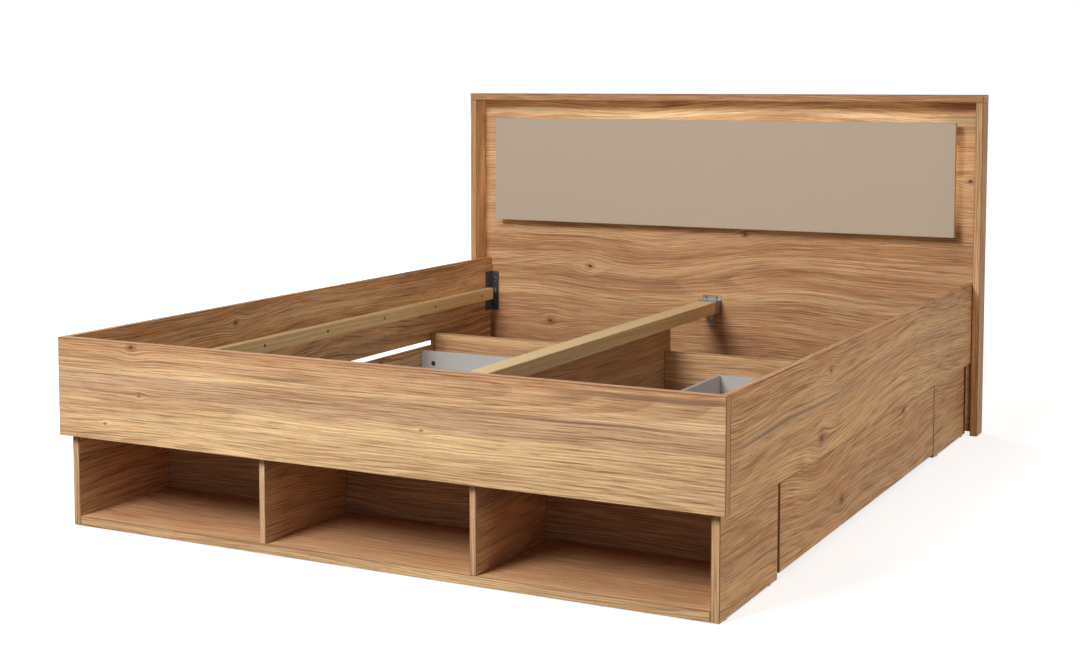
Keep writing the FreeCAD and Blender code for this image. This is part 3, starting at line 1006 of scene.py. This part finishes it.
def add_piece(name: str, grids: Sequence[np.ndarray], loop: bool, body: str, slot: str, finish: Finish,
              *replaced: str) -> None:
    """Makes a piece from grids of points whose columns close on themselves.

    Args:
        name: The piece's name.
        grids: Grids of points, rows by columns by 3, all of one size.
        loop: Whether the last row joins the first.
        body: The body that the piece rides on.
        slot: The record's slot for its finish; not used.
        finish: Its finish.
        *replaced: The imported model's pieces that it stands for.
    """
    points = np.stack(list(grids))
    copies, rows, columns = points.shape[:3]
    row, column = np.meshgrid(np.arange(rows if loop else rows - 1), np.arange(columns), indexing="ij")
    below, beside = (row + 1) % rows, (column + 1) % columns
    quads = np.stack([row * columns + column, row * columns + beside, below * columns + beside,
                      below * columns + column], axis=-1).reshape(1, -1, 4)
    faces = quads + (np.arange(copies) * rows * columns).reshape(-1, 1, 1)
    mesh = bpy.data.meshes.new(name)
    mesh.from_pydata(points.reshape(-1, 3).tolist(), [], faces.reshape(-1, 4).tolist())
    shell = bmesh.new()
    shell.from_mesh(mesh)
    bmesh.ops.remove_doubles(shell, verts=shell.verts, dist=MERGE_DISTANCE)
    bmesh.ops.dissolve_degenerate(shell, edges=shell.edges, dist=SLIVER_WIDTH)
    bmesh.ops.recalc_face_normals(shell, faces=shell.faces)
    shell.to_mesh(mesh)
    shell.free()
    mesh.shade_smooth()
    mesh.set_sharp_from_angle(angle=SHARP_ANGLE)
    mesh.materials.append(finish.material())
    piece = bpy.data.objects.new(name, mesh)
    bpy.context.scene.collection.objects.link(piece)
    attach(piece, body)
    if replaced:
        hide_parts(*replaced)
    log.info("%s built: %d copies, %d faces", name, copies, len(mesh.polygons))


@dataclass(frozen=True)
class CrossHead:
    """A turned fastener with a cross in its head: a domed screw, or a flat cam."""

    radius: float
    rim: float
    shank: float
    dome: float
    arm: float
    arm_half: float
    recess: float
    tip: float = 0.0

    COLUMNS: ClassVar[int] = 40
    DOME_ROWS: ClassVar[int] = 12
    SIDE_WALL: ClassVar[float] = 0.4
    END_WALL: ClassVar[float] = 0.25

    def grid(self, seat: Seat) -> np.ndarray:
        """Gives the fastener's points at a seat.

        The head is a shallow dome: at share s of its radius it lies (dome s s) below its top. The cross is
        let in where the lesser of |x| and |y| is under the arms' half width and the point is within their
        length, with walls that slope over a share of each.

        Args:
            seat: Where it goes.

        Returns:
            The grid of points.
        """
        share = np.linspace(0.0, 1.0, self.DOME_ROWS)
        top = np.stack([self.radius * share, -self.dome * share ** 2], axis=1)
        stem_end = -seat.length + self.tip
        stem = np.array([[self.radius, -self.rim], [self.shank, -self.rim], [self.shank, stem_end],
                         [0.0, -seat.length]])
        points = revolve(np.concatenate([top, stem]), self.COLUMNS)
        head = points[:self.DOME_ROWS]
        nearest = np.minimum(abs(head[..., 0]), abs(head[..., 1]))
        inside = np.clip((self.arm_half - nearest) / (self.SIDE_WALL * self.arm_half), 0.0, 1.0)
        away = np.linalg.norm(head[..., :2], axis=-1)
        reach = np.clip((self.arm - away) / (self.END_WALL * self.arm), 0.0, 1.0)
        head[..., 2] -= self.recess * inside * reach
        return seat.settle(points)


@dataclass(frozen=True)
class CastorWheel:
    """A moulded wheel: crowned tread, thin web with ribs, and a hub round the axle."""

    radius: float = 0.020
    half_width: float = 0.008
    bore: float = 0.00305
    hub: float = 0.0068
    hub_half: float = 0.0078
    hub_chamfer: float = 0.0008
    hub_draft: float = 0.0006
    web_half: float = 0.0030
    rib_half: float = 0.0058
    rim: float = 0.0158
    rim_draft: float = 0.0012
    rim_chamfer: float = 0.0006
    shoulder: float = 0.003
    ribs: int = 6

    COLUMNS: ClassVar[int] = 96
    ARC_ROWS: ClassVar[int] = 7
    RIB_POWER: ClassVar[int] = 8

    def half_profile(self) -> np.ndarray:
        """Gives half the section, from the bore out to the middle of the tread, with a quarter-turn shoulder.

        Returns:
            Rows of radius and height.
        """
        turn = np.linspace(0.0, math.pi / 2.0, self.ARC_ROWS)
        corner = np.stack([self.radius - self.shoulder + self.shoulder * np.sin(turn),
                           self.half_width - self.shoulder + self.shoulder * np.cos(turn)], axis=1)
        inner = np.array([[self.bore, self.hub_half], [self.hub - self.hub_chamfer, self.hub_half],
                          [self.hub, self.hub_half - self.hub_chamfer],
                          [self.hub + self.hub_draft, self.web_half],
                          [self.rim - self.rim_draft, self.web_half],
                          [self.rim, self.half_width - self.rim_chamfer],
                          [self.rim + self.rim_chamfer, self.half_width]])
        return np.concatenate([inner, corner])

    def grid(self, seat: Seat) -> np.ndarray:
        """Gives the wheel's points at a seat.

        The profile and its mirror image are carried round the axle. On the web the height rises to the ribs'
        by the rib power of cos(ribs a / 2) at angle a.

        Args:
            seat: Where it goes.

        Returns:
            The grid of points, whose last row joins its first.
        """
        half = self.half_profile()
        mirrored = half[::-1] * np.array([1.0, -1.0])
        points = revolve(np.concatenate([half, mirrored]), self.COLUMNS)
        angles = np.linspace(0.0, math.tau, self.COLUMNS, endpoint=False)
        rise = (self.rib_half - self.web_half) * np.cos(self.ribs * angles / 2.0) ** self.RIB_POWER
        on_web = np.isclose(abs(points[..., 2]), self.web_half)
        points[..., 2] += np.where(on_web, np.sign(points[..., 2]) * rise, 0.0)
        points[..., 2] -= seat.length / 2.0
        return seat.settle(points)


def dress(node: str, finish: Finish) -> None:
    """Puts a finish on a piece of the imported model.

    Args:
        node: The piece's name.
        finish: The finish.
    """
    material = finish.material()
    for place in frame["nodes"][node].material_slots:
        place.material = material
    log.info("%s dressed in %s", node, finish.name)


def decor(node: str, grain: Axis, across: Axis, seed: float, bands: Sequence[tuple[float, Tone]],
          **features: object) -> None:
    """Gives a board its own sheet of wood decor.

    Args:
        node: The board's name.
        grain: The axis that the grain runs along.
        across: The axis that the bands of shade follow one another on.
        seed: Which stretch of the decor the board shows.
        bands: Where each shade starts on that axis, and the shade.
        **features: Knots, streaks and other values of WoodDecor.
    """
    corners = tuple(tuple(float(part) for part in corner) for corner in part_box(node))
    dress(node, WoodDecor(name=f"decor_{node}", grain=grain, across=across, box=corners, seed=seed,
                          bands=tuple(bands), **features))


# The sheet of decor that each side's boards are cut from, so that its bands and knots run on over them
SIDE_BANDS = ((0.0, Tone.TAN), (0.06, Tone.ASH), (0.095, Tone.RUST), (0.165, Tone.TAN), (0.20, Tone.STRAW),
              (0.262, Tone.TAN), (0.335, Tone.ASH), (0.362, Tone.STRAW), (0.395, Tone.TAN),
              (0.425, Tone.RUST))
SIDE_KNOTS = (Knot(-0.45, 0.26, 0.008), Knot(0.294, 0.19, 0.007), Knot(-0.234, 0.075),
              Knot(-0.389, 0.40, 0.005))
SIDE_STREAKS = (Streak(-0.65, 0.347, 0.4, 0.006),)
SIDE_SWELLS = (Swell(-0.42, 0.18, 0.22, 0.09, -0.035), Swell(0.2, 0.3, 0.3, 0.08, 0.025))
SIDE_SEEDS = {"left": 21.4, "right": 25.2}


def side_decor(node: str, side: str) -> None:
    """Gives a board on one side of the bed its part of that side's sheet of decor.

    Args:
        node: The board's name.
        side: The side it is on.
    """
    decor(node, Axis.Y, Axis.Z, seed=SIDE_SEEDS[side], bands=SIDE_BANDS, knots=SIDE_KNOTS,
          streaks=SIDE_STREAKS, swells=SIDE_SWELLS, wave=0.045, ink=1.4)


@dataclass
class Headboard:
    """Posts, top board and wood panel, with the lit beige panel in front."""

    beige: Colour = from_screen(195, 177, 156)
    aluminium: Colour = from_screen(205, 206, 208)
    outlet: Colour = from_screen(52, 48, 46)
    liner_wall: float = 0.0012

    LIP_ROWS: ClassVar[int] = 7
    LINER_COLUMNS: ClassVar[int] = 64

    def build(self) -> None:
        """Gives the headboard its finishes, and its outlet a liner."""
        # Painted light: from 0.905 up the bands run cream, honey, tan, then rust, a painted glow that is
        # brightest just above the beige panel and fades upwards, on top of the real light from the strips
        bands = [(0.0, Tone.UMBER), (0.22, Tone.RUST), (0.318, Tone.STRAW), (0.352, Tone.RUST),
                 (0.385, Tone.UMBER), (0.41, Tone.TAN), (0.452, Tone.RUST), (0.466, Tone.UMBER),
                 (0.495, Tone.RUST), (0.515, Tone.TAN), (0.60, Tone.ASH), (0.80, Tone.TAN),
                 (0.905, Tone.CREAM), (0.924, Tone.HONEY), (0.936, Tone.TAN), (0.962, Tone.RUST)]
        decor("headboard_panel", Axis.X, Axis.Z, seed=3.1, bands=bands,
              knots=(Knot(-0.437, 0.419), Knot(0.101, 0.544, 0.005), Knot(-0.584, 0.23), Knot(0.80, 0.73)),
              streaks=(Streak(-0.45, 0.516, 0.33, 0.003), Streak(-0.163, 0.949, 0.09)),
              swells=(Swell(0.33, 0.43, 0.4, 0.13, 0.035), Swell(-0.15, 0.42, 0.25, 0.1, -0.018)), ink=1.05)
        decor("headboard_top_board", Axis.X, Axis.Y, seed=7.7,
              bands=[(0.9, Tone.UMBER), (0.955, Tone.RUST), (0.99, Tone.TAN)], wave=0.01)
        for side, seed in zip(SIDES, (14.9, 11.3)):
            decor(f"headboard_{side}_post", Axis.Z, Axis.Y, seed=seed,
                  bands=[(0.9, Tone.TAN), (0.97, Tone.RUST)], wave=0.01)
        dress("accent_panel", SmoothFace("beige_matte", colour=self.beige, roughness=0.62, mottle=0.012))
        dress("accent_spacers", BarePine("spacer_pine", grain=Axis.Z))
        for place in ("top", "left", "right"):
            metal = RolledMetal(f"channel_{place}", colour=self.aluminium,
                                rolled=Axis.X if place == "top" else Axis.Z)
            dress(f"led_channel_{place}", metal)
        dress("led_diffusers", LitDiffuser("warm_light", half_width=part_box("led_diffusers")[1][0]))
        self.add_outlet_liner()

    def add_outlet_liner(self) -> None:
        """Lines the cable outlet with a moulded sleeve, flush with both faces of the panel.

        Its section is a thin bar round the bore's wall, with its two inner corners rounded.
        """
        outlet = next(mount for mount in frame["record"]["mounts"] if mount["name"] == "cable_outlet")
        back = np.array(outlet["pos_m"])
        back[Axis.Y.value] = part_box("headboard_panel")[1][Axis.Y.value]
        bore, length = (outlet["dims"][name] / MM_PER_M for name in ("r_mm", "length_mm"))
        turn = np.linspace(0.0, math.pi / 2.0, self.LIP_ROWS)
        lip = np.stack([bore - self.liner_wall * np.sin(turn), self.liner_wall * (np.cos(turn) - 1.0)],
                       axis=1)
        section = np.concatenate([lip, lip[::-1] * np.array([1.0, -1.0]) - np.array([0.0, length])])
        grid = Seat(Axis.Y.value, 1.0, back, length).settle(revolve(section, self.LINER_COLUMNS))
        add_piece("cable_outlet_liner", [grid], True, FIXED_BODY, "black_plastic",
                  SmoothFace("outlet_plastic", colour=self.outlet))


@dataclass
class BedFrame:
    """Footboard, rails, slat ledges, centre beam and the steel that joins them."""

    bracket: Colour = from_screen(74, 80, 84)
    shoe: Colour = from_screen(150, 148, 146)
    screw: Colour = from_screen(110, 106, 100)
    screw_head: CrossHead = CrossHead(radius=0.0045, rim=0.0016, shank=0.002, dome=0.0012, arm=0.0026,
                                      arm_half=0.0006, recess=0.0011, tip=0.003)

    def build(self) -> None:
        """Gives the frame its finishes and screws."""
        bands = [(0.2, Tone.HONEY), (0.303, Tone.ASH), (0.357, Tone.HONEY), (0.376, Tone.TAN),
                 (0.41, Tone.RUST)]
        decor("footboard", Axis.X, Axis.Z, seed=1.0, bands=bands,
              knots=(Knot(-0.608, 0.417, 0.005), Knot(-0.587, 0.307, 0.002), Knot(-0.688, 0.235, 0.002),
                     Knot(0.156, 0.299, 0.002)),
              streaks=(Streak(-0.20, 0.376, 0.2, 0.003), Streak(0.66, 0.412, 0.25, 0.007),
                       Streak(0.52, 0.349, 0.22, 0.004)),
              wave=0.014, ink=1.2)
        for side in SIDES:
            side_decor(f"{side}_rail", side)
            dress(f"{side}_batten", BarePine(f"{side}_ledge_pine"))
        dress("center_beam", BarePine("beam_pine"))
        for end in ("head", "foot"):
            for side in SIDES:
                paint = SmoothFace(f"bracket_{end}_{side}", colour=self.bracket, roughness=0.4)
                dress(f"corner_bracket_{end}_{side}", paint)
            dress(f"beam_shoe_{end}", RolledMetal(f"shoe_{end}", colour=self.shoe, rolled=Axis.X))
        self.add_screws()

    def add_screws(self) -> None:
        """Turns the screws of the ledges and brackets."""
        for group in ("batten_screws", "bracket_screws"):
            grids = [self.screw_head.grid(Seat.of(points)) for points in solids(group)]
            add_piece(f"{group}_turned", grids, False, FIXED_BODY, "zinc_steel",
                      RolledMetal(group, colour=self.screw, roughness=0.3, rolled=Axis.X), group)


@dataclass
class Plinth:
    """Open shelf under the footboard, and the panels that carry the bed behind it."""

    glide: Colour = from_screen(48, 44, 42)

    def build(self) -> None:
        """Gives the shelf and panels their finishes."""
        # Painted light and shade: the shelf's floor is painted lighter in a strip at its front and darkens
        # through rust to umber towards the back of the niches
        decor("shelf_bottom", Axis.X, Axis.Y, seed=31.0,
              bands=[(-1.1, Tone.STRAW), (-0.995, Tone.TAN), (-0.98, Tone.RUST), (-0.93, Tone.UMBER)],
              wave=0.03)
        decor("shelf_top", Axis.X, Axis.Y, seed=33.6, bands=[(-1.1, Tone.TAN), (-0.85, Tone.RUST)])
        # Painted shade: the niches' back is painted in the dark niche-shade tone, with one umber band
        decor("shelf_back", Axis.X, Axis.Z, seed=35.2,
              bands=[(0.0, Tone.SMOKE), (0.12, Tone.UMBER), (0.17, Tone.SMOKE)])
        for number, side in enumerate(SIDES):
            side_decor(f"shelf_{side}_end", side)
            side_decor(f"{side}_rear_panel", side)
            # Painted shade: each divider's upper part is painted in the dark niche-shade tone
            decor(f"shelf_{side}_divider", Axis.Y, Axis.Z, seed=52.0 + 2.9 * number,
                  bands=[(0.0, Tone.ASH), (0.08, Tone.TAN), (0.17, Tone.SMOKE)], end_tone=1.1)
            decor(f"{side}_cross_panel", Axis.X, Axis.Z, seed=61.0 + 2.1 * number,
                  bands=[(0.0, Tone.RUST), (0.12, Tone.TAN), (0.2, Tone.STRAW)])
        decor("center_partition", Axis.Y, Axis.Z, seed=81.0,
              bands=[(0.0, Tone.RUST), (0.12, Tone.TAN), (0.22, Tone.RUST)])
        dress("glides", SmoothFace("glide_plastic", colour=self.glide))


@dataclass
class Drawer:
    """A roll-out drawer: wood front, grey box and castors."""

    side: str
    grey: Colour = from_screen(194, 192, 190)
    cam: Colour = from_screen(60, 57, 55)
    zinc: Colour = from_screen(168, 168, 170)
    tread: Colour = from_screen(40, 40, 42)
    cam_head: CrossHead = CrossHead(radius=0.0075, rim=0.0008, shank=0.0072, dome=0.0003, arm=0.0045,
                                    arm_half=0.0009, recess=0.002)
    wheel: CastorWheel = CastorWheel()

    def build(self) -> None:
        """Gives the drawer its finishes, cams and wheels."""
        drawer = f"{self.side}_drawer"
        side_decor(f"{drawer}_front", self.side)
        for wall in ("foot_side", "head_side", "back", "floor"):
            dress(f"{drawer}_{wall}", SmoothFace(f"{drawer}_{wall}_grey", colour=self.grey, mottle=0.015))
        self.add_cams(drawer)
        dress(f"{drawer}_forks", RolledMetal(f"{drawer}_zinc", colour=self.zinc))
        self.add_wheels(drawer)

    def add_cams(self, drawer: str) -> None:
        """Turns the cam locks that are let into the drawer's two sides.

        Args:
            drawer: The drawer's body.
        """
        cams = f"{drawer}_cams"
        floor_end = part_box(f"{drawer}_floor")[1][Axis.Y.value]
        grids = []
        for points in solids(cams):
            wall = "head_side" if points[:, Axis.Y.value].mean() > floor_end else "foot_side"
            grids.append(self.cam_head.grid(Seat.let_into(points, f"{drawer}_{wall}", Axis.Y)))
        add_piece(f"{cams}_turned", grids, False, drawer, "dark_steel",
                  SmoothFace(f"{drawer}_cam", colour=self.cam, roughness=0.4), cams)

    def add_wheels(self, drawer: str) -> None:
        """Moulds the castors' wheels, one piece for each row.

        Args:
            drawer: The drawer's body.
        """
        for row in ("inner", "outer"):
            wheels = f"{drawer}_wheels_{row}"
            grids = [self.wheel.grid(Seat.of(points, Axis.Y)) for points in solids(wheels)]
            add_piece(f"{wheels}_moulded", grids, True, wheels, "black_plastic",
                      SmoothFace(f"{wheels}_plastic", colour=self.tread, roughness=0.45), wheels)


@dataclass(frozen=True)
class Lamp:
    """A soft box: where it hangs, what it faces, its width and height, its watts and how its light looks."""

    name: str
    place: tuple[float, float, float]
    target: tuple[float, float, float]
    size: tuple[float, float]
    power: float
    colour: Colour = WHITE
    glossy: bool = True

    def build(self) -> None:
        """Hangs the lamp and turns it to its target."""
        data = bpy.data.lights.new(self.name, "AREA")
        data.shape = "RECTANGLE"
        data.size, data.size_y = self.size
        data.energy = self.power
        data.color = self.colour
        lamp = bpy.data.objects.new(self.name, data)
        lamp.location = self.place
        lamp.visible_glossy = self.glossy
        aim = np.array(self.target) - np.array(self.place)
        rise = math.atan2(aim[2], math.hypot(aim[0], aim[1]))
        lamp.rotation_euler = (math.pi / 2.0 + rise, 0.0, math.atan2(-aim[0], aim[1]))
        bpy.context.scene.collection.objects.link(lamp)


@dataclass
class Studio:
    """Pale floor, soft light and the camera."""

    eye: tuple[float, float, float] = (1.95067, -3.989397, 1.034405)
    turn_deg: float = 27.196
    down_deg: float = 4.482
    focal_px: float = 1697.198
    shift: float = -0.1
    floor_half: float = 40.0
    sky: float = 0.16
    floor_bounce: float = 0.10
    floor_pale: float = 0.66
    floor_glow: float = 0.78
    shadow_reach: tuple[float, float] = (2.2, 6.0)
    lamps: tuple[Lamp, ...] = (
        Lamp("key", (-1.1, -4.4, 3.4), (0.0, -1.0, 0.3), (1.8, 1.8), 234.0),
        Lamp("top", (-0.1, 0.0, 4.0), (0.0, 0.0, 0.3), (2.0, 2.0), 6.0),
        Lamp("back", (-3.2, 4.2, 1.3), (-0.3, 0.6, 0.4), (2.4, 1.6), 125.0, glossy=False),
        Lamp("fill", (5.0, -0.7, 0.55), (0.8, -0.4, 0.25), (2.0, 1.0), 74.0, colour=(1.0, 0.86, 0.65)))

    def build(self) -> None:
        """Makes the camera, the lamps, the surroundings and the floor."""
        self.make_camera()
        self.make_world()
        self.make_floor()
        for lamp in self.lamps:
            lamp.build()

    def make_camera(self) -> None:
        """Sets the camera where the photograph was taken from."""
        data = bpy.data.cameras.new("camera")
        data.sensor_fit = "HORIZONTAL"
        data.sensor_width = SENSOR_WIDTH
        data.lens = self.focal_px / PHOTO_WIDTH * SENSOR_WIDTH
        data.shift_y = self.shift
        camera = bpy.data.objects.new("camera", data)
        camera.location = self.eye
        camera.rotation_euler = (math.radians(90.0 - self.down_deg), 0.0, math.radians(self.turn_deg))
        bpy.context.scene.collection.objects.link(camera)
        bpy.context.scene.camera = camera

    @staticmethod
    def split_view(graph: Graph, carried: bpy.types.Node, seen: bpy.types.Node) -> Socket:
        """Shows one shader to the camera and lets another light the bed.

        Args:
            graph: The graph of the world or material.
            carried: What other rays meet.
            seen: What rays from the camera meet, and those that gloss or glass sends on.

        Returns:
            The mixed shader's socket.
        """
        path = graph.add("LightPath").outputs
        camera, glossy, through = (Number(graph, path[f"Is {kind} Ray"]) for kind in
                                   ("Camera", "Glossy", "Transmission"))
        mix = graph.add("MixShader")
        shares = (camera.most(glossy).most(through), carried.outputs[0], seen.outputs[0])
        for target, value in zip(mix.inputs, shares):
            graph.feed(target, value)
        return mix.outputs[0]

    def make_world(self) -> None:
        """Lights the bed evenly, with a white background."""
        world = bpy.data.worlds.new("studio")
        world.use_nodes = True
        bpy.context.scene.world = world
        graph = Graph(world.node_tree)
        light, white = (graph.add("Background") for _ in range(2))
        light.inputs["Strength"].default_value = self.sky
        for background in (light, white):
            graph.feed(background.inputs["Color"], (*WHITE, 1.0))
        graph.feed(graph.add("OutputWorld").inputs["Surface"], self.split_view(graph, light, white))

    def make_floor(self) -> None:
        """Lays the floor: white to the camera with the bed's soft shadow, duller in the light it sends back.

        Its own white grows with the distance from the bed, so it runs into the background without a seam.
        """
        mesh = bpy.data.meshes.new("floor")
        signs = ((-1.0, -1.0), (1.0, -1.0), (1.0, 1.0), (-1.0, 1.0))
        corners = [(x * self.floor_half, y * self.floor_half, 0.0) for x, y in signs]
        mesh.from_pydata(corners, [], [range(len(corners))])
        floor = bpy.data.objects.new("floor", mesh)
        bpy.context.scene.collection.objects.link(floor)
        material = bpy.data.materials.new("floor")
        material.use_nodes = True
        graph = Graph(material.node_tree)
        dull, pale = (graph.add("BsdfDiffuse") for _ in range(2))
        for shader, grey in ((dull, self.floor_bounce), (pale, self.floor_pale)):
            shader.inputs["Color"].default_value = (grey, grey, grey, 1.0)
        white = graph.add("Emission")
        x, y, _ = graph.place()
        away = graph.math("SQRT", x * x + y * y)
        graph.feed(white.inputs["Strength"], away.fade(Span(*self.shadow_reach, self.floor_glow)))
        seen = graph.add("AddShader")
        graph.feed(seen.inputs[0], pale.outputs[0])
        graph.feed(seen.inputs[1], white.outputs[0])
        graph.feed(graph.add("OutputMaterial").inputs["Surface"], self.split_view(graph, dull, seen))
        mesh.materials.append(material)


def main() -> None:
    """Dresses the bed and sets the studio."""
    logging.basicConfig(level=logging.INFO, format="%(name)s %(message)s")
    bpy.context.scene.view_settings.view_transform = "Standard"
    for assembly in (Headboard(), BedFrame(), Plinth(), Drawer("left"), Drawer("right"), Studio()):
        assembly.build()


if __name__ == "__main__":
    main()
